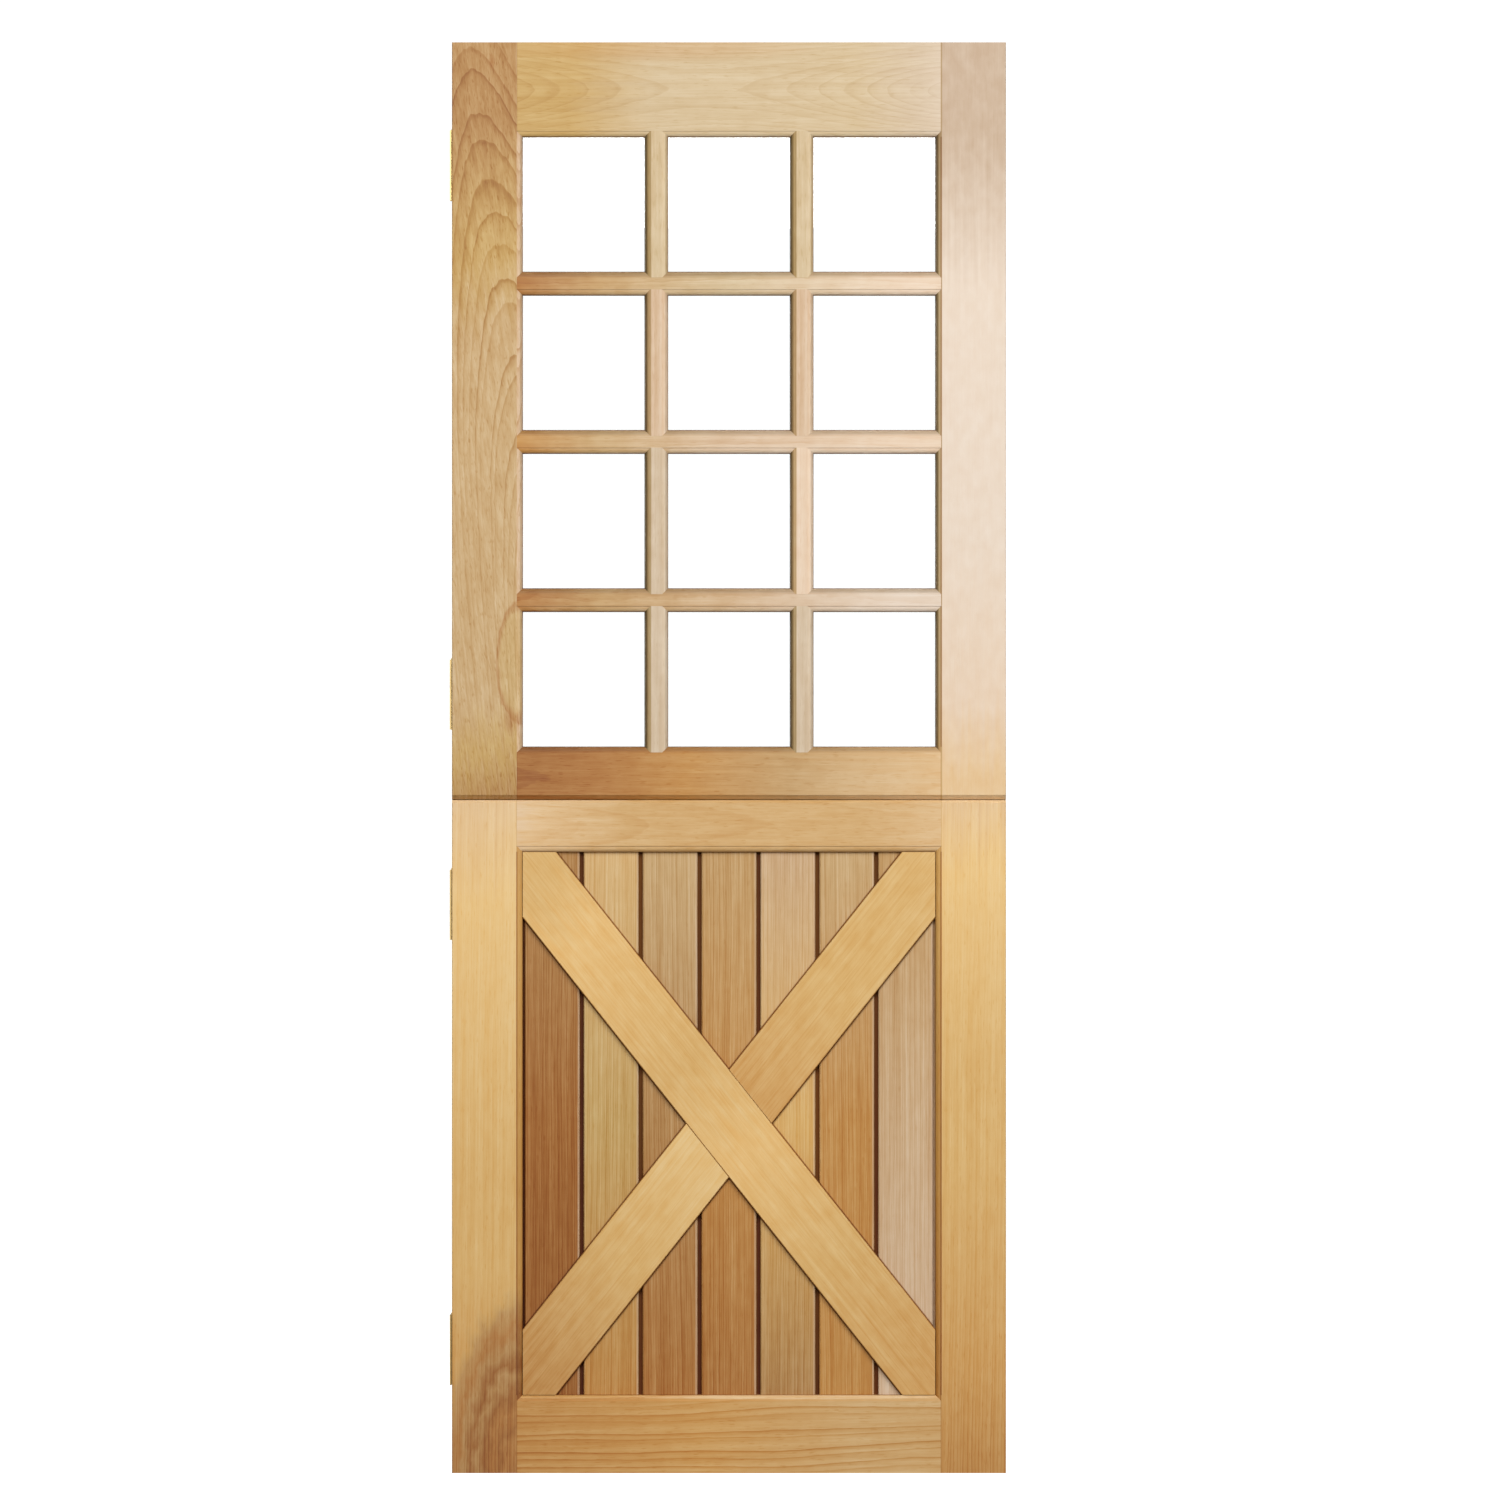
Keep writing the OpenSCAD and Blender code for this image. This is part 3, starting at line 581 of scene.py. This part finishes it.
# A warm streak under the top edge of the top rail
WARM_TONES = [(0.0, "caramel", 0.4), (0.5, "caramel", 0.3), (1.0, "caramel", 0.0)]
WARM_STREAK = (-120, 2034, 280, 26, WARM_TONES)
dress_timber(
    "top_rail", X, pith=(-40, 60, 0), ring=6.0, wander=8, bow=0.4, late=0.24, streak=0.2,
    tones=[(0.02, "ochre", 1), (0.2, "ochre", 1), (0.35, "wheat", 1), (0.75, "wheat", 1),
           (0.88, "flax", 1), (1.0, "cream", 1)],
    patches=[WARM_STREAK],
    stains=[*moulding(UP, GLASS_TOP, UNDER_SIDE_SHADE), JOINT_LINE],
)
dress_timber(
    "upper_meeting_rail", X, lean=(0, 0.03, 0), pith=(0, 160, 0), ring=9.0, late=0.2, streak=0.24,
    tones=[(0.12, "russet", 1), (0.25, "chestnut", 1), (0.42, "caramel", 1), (0.62, "biscuit", 1),
           (0.95, "straw", 1)],
    stains=[*moulding(UP, GLASS_SILL, UPPER_SIDE_SHADE), JOINT_LINE],
)

# Tones of the long glazing bars from the bottom up, each from left to right, and their places along a bar
BAR_TONES = (
    ("chestnut", "biscuit", "fawn", "cream"), ("caramel", "sand", "rose", "ivory"),
    ("chestnut", "biscuit", "wheat", "ivory"),
)
BAR_PLACES = (0.02, 0.2, 0.5, 0.9)
# The pith moves from row to row, so that no two rows have the same rings
for row, bar_tones in enumerate(BAR_TONES, 1):
    bar = f"glazing_bar_{row}"
    low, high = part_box(bar)
    dress_timber(
        bar, X, pith=(0, 70, 9 * row), ring=5.0, late=0.25, streak=0.35, mottle=0.2,
        stains=[*moulding(UP, low.z, UNDER_SIDE_SHADE), *moulding(UP, high.z, UPPER_SIDE_SHADE)],
        tones=[(place, tone, 1) for place, tone in zip(BAR_PLACES, bar_tones)],
    )
# Tones of the upright bars of each column, from the bottom row up
COLUMN_TONES = {1: ("flax", "flax", "rose", "wheat"), 2: ("flax", "ivory", "rose", "wheat")}
for column, row_tones in COLUMN_TONES.items():
    for row, tone in enumerate(row_tones, 1):
        bar = f"upright_bar_{column}_{row}"
        low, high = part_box(bar)
        dress_timber(
            bar, Z, pith=(13 * row, 80 + 11 * row, 0), ring=5.0, late=0.25, streak=0.3, mottle=0.2,
            stains=[*moulding(ACROSS, low.x, DARK_SIDE_SHADE), *moulding(ACROSS, high.x, LIT_SIDE_SHADE)],
            tones=[(0.0, tone, 1)],
        )
PANE_ROWS = len(BAR_TONES) + 1
for row in range(1, PANE_ROWS + 1):
    dress_timber(
        f"glazing_beads_{row}", X, pith=(0, 90, 17 * row), streak=0.3,
        tones=[(0.0, "biscuit", 1), (1.0, "rose", 1)],
    )

# Lower leaf

# Rings of heartwood at the foot of the hinge stile
HEART_TONES = [
    (0.0, "umber", 0.9), (0.2, "chestnut", 0.9), (0.3, "umber", 0.9), (0.38, "chestnut", 0.9),
    (0.47, "umber", 0.9), (0.56, "toffee", 0.9), (0.64, "umber", 0.9), (0.72, "toffee", 0.9),
    (0.8, "chestnut", 0.9), (0.88, "toffee", 0.7), (1.0, "ochre", 0.0),
]
HEART_FOOT = (-300, 0, 117, 276, HEART_TONES)
dress_timber(
    "lower_hinge_stile", Z, lean=(0.012, 0, 0), pith=(240, 60, 0), ring=5.0, late=0.6, streak=0.2,
    tones=[(0.0, "caramel", 1.0), (0.14, "amber", 0.6), (0.3, "gold", 0.3), (0.45, "gold", 0.3),
           (0.85, "barley", 0.3), (1.0, "straw", 0.3)],
    patches=[HEART_FOOT],
    stains=[*moulding(ACROSS, -SIGHT_X, PANEL_SIDE_SHADE), quirk_shadow_line(-FLAT_X, PANEL_LOW.z, PANEL_HIGH.z)],
)
dress_timber(
    "lower_lock_stile", Z, lean=(0.012, 0, 0), pith=(240, 60, 0), ring=5.0, late=0.6, streak=0.2,
    tones=[(0.0, "caramel", 1.0), (0.16, "amber", 0.6), (0.45, "gold", 0.3), (0.6, "gold", 0.3),
           (0.9, "barley", 0.3), (1.0, "straw", 0.3)],
    stains=[*moulding(ACROSS, SIGHT_X, PANEL_SIDE_SHADE), quirk_shadow_line(FLAT_X, PANEL_LOW.z, PANEL_HIGH.z)],
)
dress_timber(
    "lower_meeting_rail", X, lean=(0, 0.05, 0), pith=(0, 75, 0), ring=7.0, wander=16, late=0.2, streak=0.2,
    tones=[(0.0, "ivory", 1), (0.12, "straw", 1), (0.3, "maize", 1), (0.75, "maize", 1), (1.0, "straw", 1)],
)
# A painted highlight on the top edge of the bottom rail's moulding, which faces up to the light
TOP_HIGHLIGHT_TONES = [(0.0, "straw", 0.95), (0.7, "straw", 0.85), (1.0, "straw", 0.0)]
TOP_HIGHLIGHT = (90, PANEL_LOW.z / MM - 3, 260, 4, TOP_HIGHLIGHT_TONES)
dress_timber(
    "bottom_rail", X, lean=(0, 0.01, 0.02), pith=(0, 50, -190), ring=12.0, wander=34, late=0.65,
    streak=0.25,
    tones=[(0.0, "caramel", 1), (0.45, "amber", 1), (0.75, "maize", 1)],
    patches=[TOP_HIGHLIGHT],
    stains=[*moulding(UP, PANEL_LOW.z, [PANEL_EDGE_SHADE]), JOINT_LINE],
)

# Tones of the boards from left to right, each from the bottom up
BOARD_TONES = (
    ("umber", "russet", "toffee"), ("caramel", "ochre", "tan"), ("chestnut", "toffee", "sand"),
    ("chestnut", "caramel", "biscuit"), ("toffee", "gold", "fawn"), ("caramel", "caramel", "sand"),
    ("rose", "fawn", "biscuit"),
)
BOARD_W = (PANEL_HIGH.x - PANEL_LOW.x) / len(BOARD_TONES)
# A painted highlight on the edge left of each groove, which faces the light: its distance from the groove,
# half width and middle height, in millimetres
BOARD_HIGHLIGHT_IN, BOARD_HIGHLIGHT_HALF, BOARD_HIGHLIGHT_Z = 4, 2.6, 500
BOARD_HIGHLIGHT_TONES = [(0.0, "rose", 0.6), (0.6, "rose", 0.45), (1.0, "rose", 0.0)]
# The pith and the lean change from board to board, so that no two neighbours have the same rings
for number, (low_tone, mid_tone, high_tone) in enumerate(BOARD_TONES, 1):
    edge = (PANEL_LOW.x + number * BOARD_W) / MM - BOARD_HIGHLIGHT_IN
    dress_timber(
        f"board_{number}", Z, lean=(0.01 * (number % 3 - 1), 0, 0), pith=(230 + 40 * (number % 4), 80, 0),
        ring=3.5, late=0.45, streak=0.28, fibre=0.28, pore=0.1, shine=0.2,
        tones=[(0.02, low_tone, 1), (0.5, mid_tone, 1), (0.98, high_tone, 1)],
        patches=[(edge, BOARD_HIGHLIGHT_Z, BOARD_HIGHLIGHT_HALF, WHOLE_LENGTH, BOARD_HIGHLIGHT_TONES)],
        stains=[(*GROOVE_SHADE, CLEAN_EDGE), brace_shadow_line(1), brace_shadow_line(-1)],
    )


def dress_brace(name, rise, tones):
    """Finishes a brace whose grain runs along its slope: rise is +1 from bottom left, -1 from top left."""
    middle, half_x = centre_and_half(name, X)
    half_z = centre_and_half(name, Z)[1]
    grain = Vector((math.cos(BRACE_ANGLE), 0, rise * math.sin(BRACE_ANGLE)))
    finish_node(name, sanded_cedar(
        name, grain, middle, math.hypot(half_x, half_z), tones, pith=(230, 60, 0), ring=6.0, late=0.2,
        streak=0.16, fibre=0.18, pore=0.1, mottle=0.18, stains=[BRACE_EDGE_SHADE],
    ))


dress_brace("long_brace", -1, [(0.05, "gold", 1), (0.15, "honey", 1), (0.4, "gold", 1), (0.55, "honey", 1),
                               (0.75, "gold", 1), (0.98, "amber", 1)])
dress_brace("upper_short_brace", 1, [(0.1, "amber", 1), (0.5, "gold", 1)])
dress_brace("lower_short_brace", 1, [(0.05, "caramel", 1), (0.5, "gold", 1), (1.0, "barley", 1)])

# Glass and hinges

GLASS = clear_glass()
BRASS = satin_brass()
for name, thing in nodes.items():
    if name.startswith("pane_"):
        finish_node(name, GLASS)
        thing.visible_shadow = False
    elif "hinge_leaf" in name or "hinge_pin" in name or "hinge_screws" in name:
        finish_node(name, BRASS)


# Pins that hold the glazing beads

# Radius and height of a pin's domed head
PIN_RADIUS, PIN_HEIGHT = 1.0 * MM, 0.5 * MM
# Faces round a head and from top to bottom
PIN_SEGMENTS, PIN_RINGS = 12, 7
# Distance between pins, and from a pane's corner to the first pin
PIN_SPACING, PIN_INSET = 55 * MM, 26 * MM
# A head sits halfway round the bead's quarter round: this far inside the edge of the glass, and behind it
PIN_INSIDE, PIN_BEHIND = 4.45 * MM, 19.45 * MM


def pin_tree():
    """Sets a domed head on every point of the lines that it is given, tilted along their lean."""
    tree = bpy.data.node_groups.new("bead_pins", "GeometryNodeTree")
    tree.interface.new_socket("Lines", in_out="INPUT", socket_type="NodeSocketGeometry")
    for name in ("Spacing", "Head radius", "Head height"):
        tree.interface.new_socket(name, in_out="INPUT", socket_type="NodeSocketFloat")
    tree.interface.new_socket("Material", in_out="INPUT", socket_type="NodeSocketMaterial")
    tree.interface.new_socket("Pins", in_out="OUTPUT", socket_type="NodeSocketGeometry")
    given = add(tree, "NodeGroupInput")
    result = add(tree, "NodeGroupOutput")
    curves = add(tree, "GeometryNodeMeshToCurve", inputs={"Mesh": given.outputs["Lines"]})
    points = add(
        tree, "GeometryNodeResampleCurve", mode="LENGTH",
        inputs={"Curve": curves.outputs["Curve"], "Length": given.outputs["Spacing"]},
    )
    lean = add(tree, "GeometryNodeInputNamedAttribute", data_type="FLOAT_VECTOR", inputs={"Name": "lean"})
    tilt = add(
        tree, "FunctionNodeAlignRotationToVector", axis="Z", inputs={"Vector": lean.outputs["Attribute"]},
    )
    ball = add(
        tree, "GeometryNodeMeshUVSphere",
        inputs={"Segments": PIN_SEGMENTS, "Rings": PIN_RINGS, "Radius": 1.0},
    )
    size = add(
        tree, "ShaderNodeCombineXYZ",
        inputs={
            "X": given.outputs["Head radius"], "Y": given.outputs["Head radius"],
            "Z": given.outputs["Head height"],
        },
    )
    heads = add(
        tree, "GeometryNodeInstanceOnPoints",
        inputs={
            "Points": points.outputs["Curve"], "Instance": ball.outputs["Mesh"],
            "Rotation": tilt.outputs["Rotation"], "Scale": size.outputs["Vector"],
        },
    )
    real = add(tree, "GeometryNodeRealizeInstances", inputs={"Geometry": heads.outputs["Instances"]})
    finished = add(
        tree, "GeometryNodeSetMaterial",
        inputs={"Geometry": real.outputs["Geometry"], "Material": given.outputs["Material"]},
    )
    tree.links.new(finished.outputs["Geometry"], result.inputs["Pins"])
    return tree


def bead_lines():
    """A mesh with one loose edge along each bead, and the way that its pins lean."""
    points, leans = [], []
    for name in sorted(n for n in nodes if n.startswith("pane_")):
        low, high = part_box(name)
        centre = (low + high) / 2
        reach = (high - centre) - Vector((PIN_INSIDE, 0, PIN_INSIDE))
        back = high.y + PIN_BEHIND
        for side in (-1, 1):
            for x in (PIN_INSET - reach.x, reach.x - PIN_INSET):
                points.append((centre.x + x, back, centre.z + side * reach.z))
                leans.append((0, 1, -side))
            for z in (PIN_INSET - reach.z, reach.z - PIN_INSET):
                points.append((centre.x + side * reach.x, back, centre.z + z))
                leans.append((-side, 1, 0))
    mesh = bpy.data.meshes.new("bead_lines")
    mesh.from_pydata(points, [(i, i + 1) for i in range(0, len(points), 2)], [])
    attribute = mesh.attributes.new("lean", "FLOAT_VECTOR", "POINT")
    for item, lean in zip(attribute.data, leans):
        item.vector = lean
    return mesh


def bead_pins():
    """Brass panel pins along the middle of every glazing bead."""
    lines = bpy.data.objects.new("bead_lines", bead_lines())
    bpy.context.scene.collection.objects.link(lines)
    modifier = lines.modifiers.new("pins", "NODES")
    modifier.node_group = pin_tree()
    settings = {
        "Spacing": PIN_SPACING, "Head radius": PIN_RADIUS, "Head height": PIN_HEIGHT, "Material": BRASS,
    }
    for socket in modifier.node_group.interface.items_tree:
        if socket.name in settings:
            modifier[socket.identifier] = settings[socket.name]
    graph = bpy.context.evaluated_depsgraph_get()
    mesh = bpy.data.meshes.new_from_object(lines.evaluated_get(graph))
    mesh.shade_smooth()
    bpy.data.objects.remove(lines)
    pins = bpy.data.objects.new("bead_pins", mesh)
    bpy.context.scene.collection.objects.link(pins)
    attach(pins, "upper_leaf")


bead_pins()


# Floor, light and camera

# Half the side of the floor in metres, its unevenness in patches to a metre, and how rough it is
FLOOR_HALF = 20.0
FLOOR_PATCHES = 3.0
FLOOR_SMOOTH, FLOOR_ROUGH = 0.7, 0.9


def white_floor():
    """A white floor that glows a little, so that it stays as pale as the ground of a studio picture."""
    material, tree, output = new_material("white_studio_floor")
    grain = add(
        tree, "ShaderNodeTexNoise",
        inputs={"Vector": add(tree, "ShaderNodeTexCoord").outputs["Object"], "Scale": FLOOR_PATCHES},
    )
    rough = add(
        tree, "ShaderNodeMapRange",
        inputs={"Value": grain.outputs["Fac"], "To Min": FLOOR_SMOOTH, "To Max": FLOOR_ROUGH},
    )
    shader = add(
        tree, "ShaderNodeBsdfPrincipled",
        inputs={
            "Base Color": linear("#A0A0A0"), "Roughness": rough.outputs["Result"],
            "Specular IOR Level": 0.0, "Emission Color": linear("#FFFFFF"), "Emission Strength": 1.0,
        },
    )
    tree.links.new(shader.outputs["BSDF"], output.inputs["Surface"])
    corners = [(FLOOR_HALF * x, FLOOR_HALF * y, 0) for x, y in ((-1, -1), (1, -1), (1, 1), (-1, 1))]
    mesh = bpy.data.meshes.new("floor")
    mesh.from_pydata(corners, [], [(0, 1, 2, 3)])
    mesh.materials.append(material)
    floor = bpy.data.objects.new("floor", mesh)
    bpy.context.scene.collection.objects.link(floor)
    floor.visible_diffuse = False
    floor.visible_glossy = False


# Brightness of the soft light from all round, and of the white ground that is seen
AMBIENT, GROUND = 0.16, 1.1


def white_surroundings():
    """Soft light from all round, in front of a ground that is seen as plain white."""
    world = bpy.data.worlds.new("studio")
    world.use_nodes = True
    tree = world.node_tree
    tree.nodes.clear()
    path = add(tree, "ShaderNodeLightPath")
    seen = add(
        tree, "ShaderNodeMath", operation="MAXIMUM",
        inputs={"Value": path.outputs["Is Camera Ray"], "Value_001": path.outputs["Is Transmission Ray"]},
    )
    light = add(tree, "ShaderNodeBackground", inputs={"Color": linear("#FFF4E6"), "Strength": AMBIENT})
    ground = add(tree, "ShaderNodeBackground", inputs={"Color": linear("#FFFFFF"), "Strength": GROUND})
    shown = add(
        tree, "ShaderNodeMixShader",
        inputs={
            "Fac": seen.outputs["Value"], "Shader": light.outputs["Background"],
            "Shader_001": ground.outputs["Background"],
        },
    )
    output = add(tree, "ShaderNodeOutputWorld")
    tree.links.new(shown.outputs["Shader"], output.inputs["Surface"])
    bpy.context.scene.world = world


# Name, place, point that it faces, side in metres and power in watts of each soft box
SOFT_BOXES = (
    ("key_light", (2.6, -5.6, 4.0), (0, 0, 1.2), 4.6, 275),
    ("fill_light", (-0.6, -6.0, 3.2), (0, 0, 1.0), 2.6, 185),
    ("rear_key_light", (3.2, 5.0, 4.2), (0, 0, 1.2), 4.6, 290),
    ("rear_fill_light", (-4.6, 3.4, 2.8), (0, 0, 1.0), 3.0, 200),
)


def soft_box(name, place, target, side, power):
    """A square area light that looks at a point."""
    lamp = bpy.data.lights.new(name, "AREA")
    lamp.size = side
    lamp.energy = power
    holder = bpy.data.objects.new(name, lamp)
    holder.location = place
    holder.rotation_euler = (Vector(target) - Vector(place)).to_track_quat("-Z", "Y").to_euler()
    holder.visible_camera = False
    bpy.context.scene.collection.objects.link(holder)


# Width of the picture at the door, and the place of its middle, in metres
PICTURE_W = 2.1386
PICTURE_X, PICTURE_Z = 0.030, 1.031
# Focal length and sensor width, in millimetres
LENS, SENSOR = 400.0, 36.0


def front_camera():
    """A long lens, square to the door, as the photograph was taken."""
    camera = bpy.data.objects.new("camera", bpy.data.cameras.new("camera"))
    camera.data.lens = LENS
    camera.data.sensor_width = SENSOR
    camera.location = (PICTURE_X, FRONT_Y - PICTURE_W * LENS / SENSOR, PICTURE_Z)
    camera.rotation_euler = (math.radians(90), 0, 0)
    bpy.context.scene.collection.objects.link(camera)
    bpy.context.scene.camera = camera


white_floor()
white_surroundings()
for box in SOFT_BOXES:
    soft_box(*box)
front_camera()
bpy.context.scene.view_settings.view_transform = "Standard"
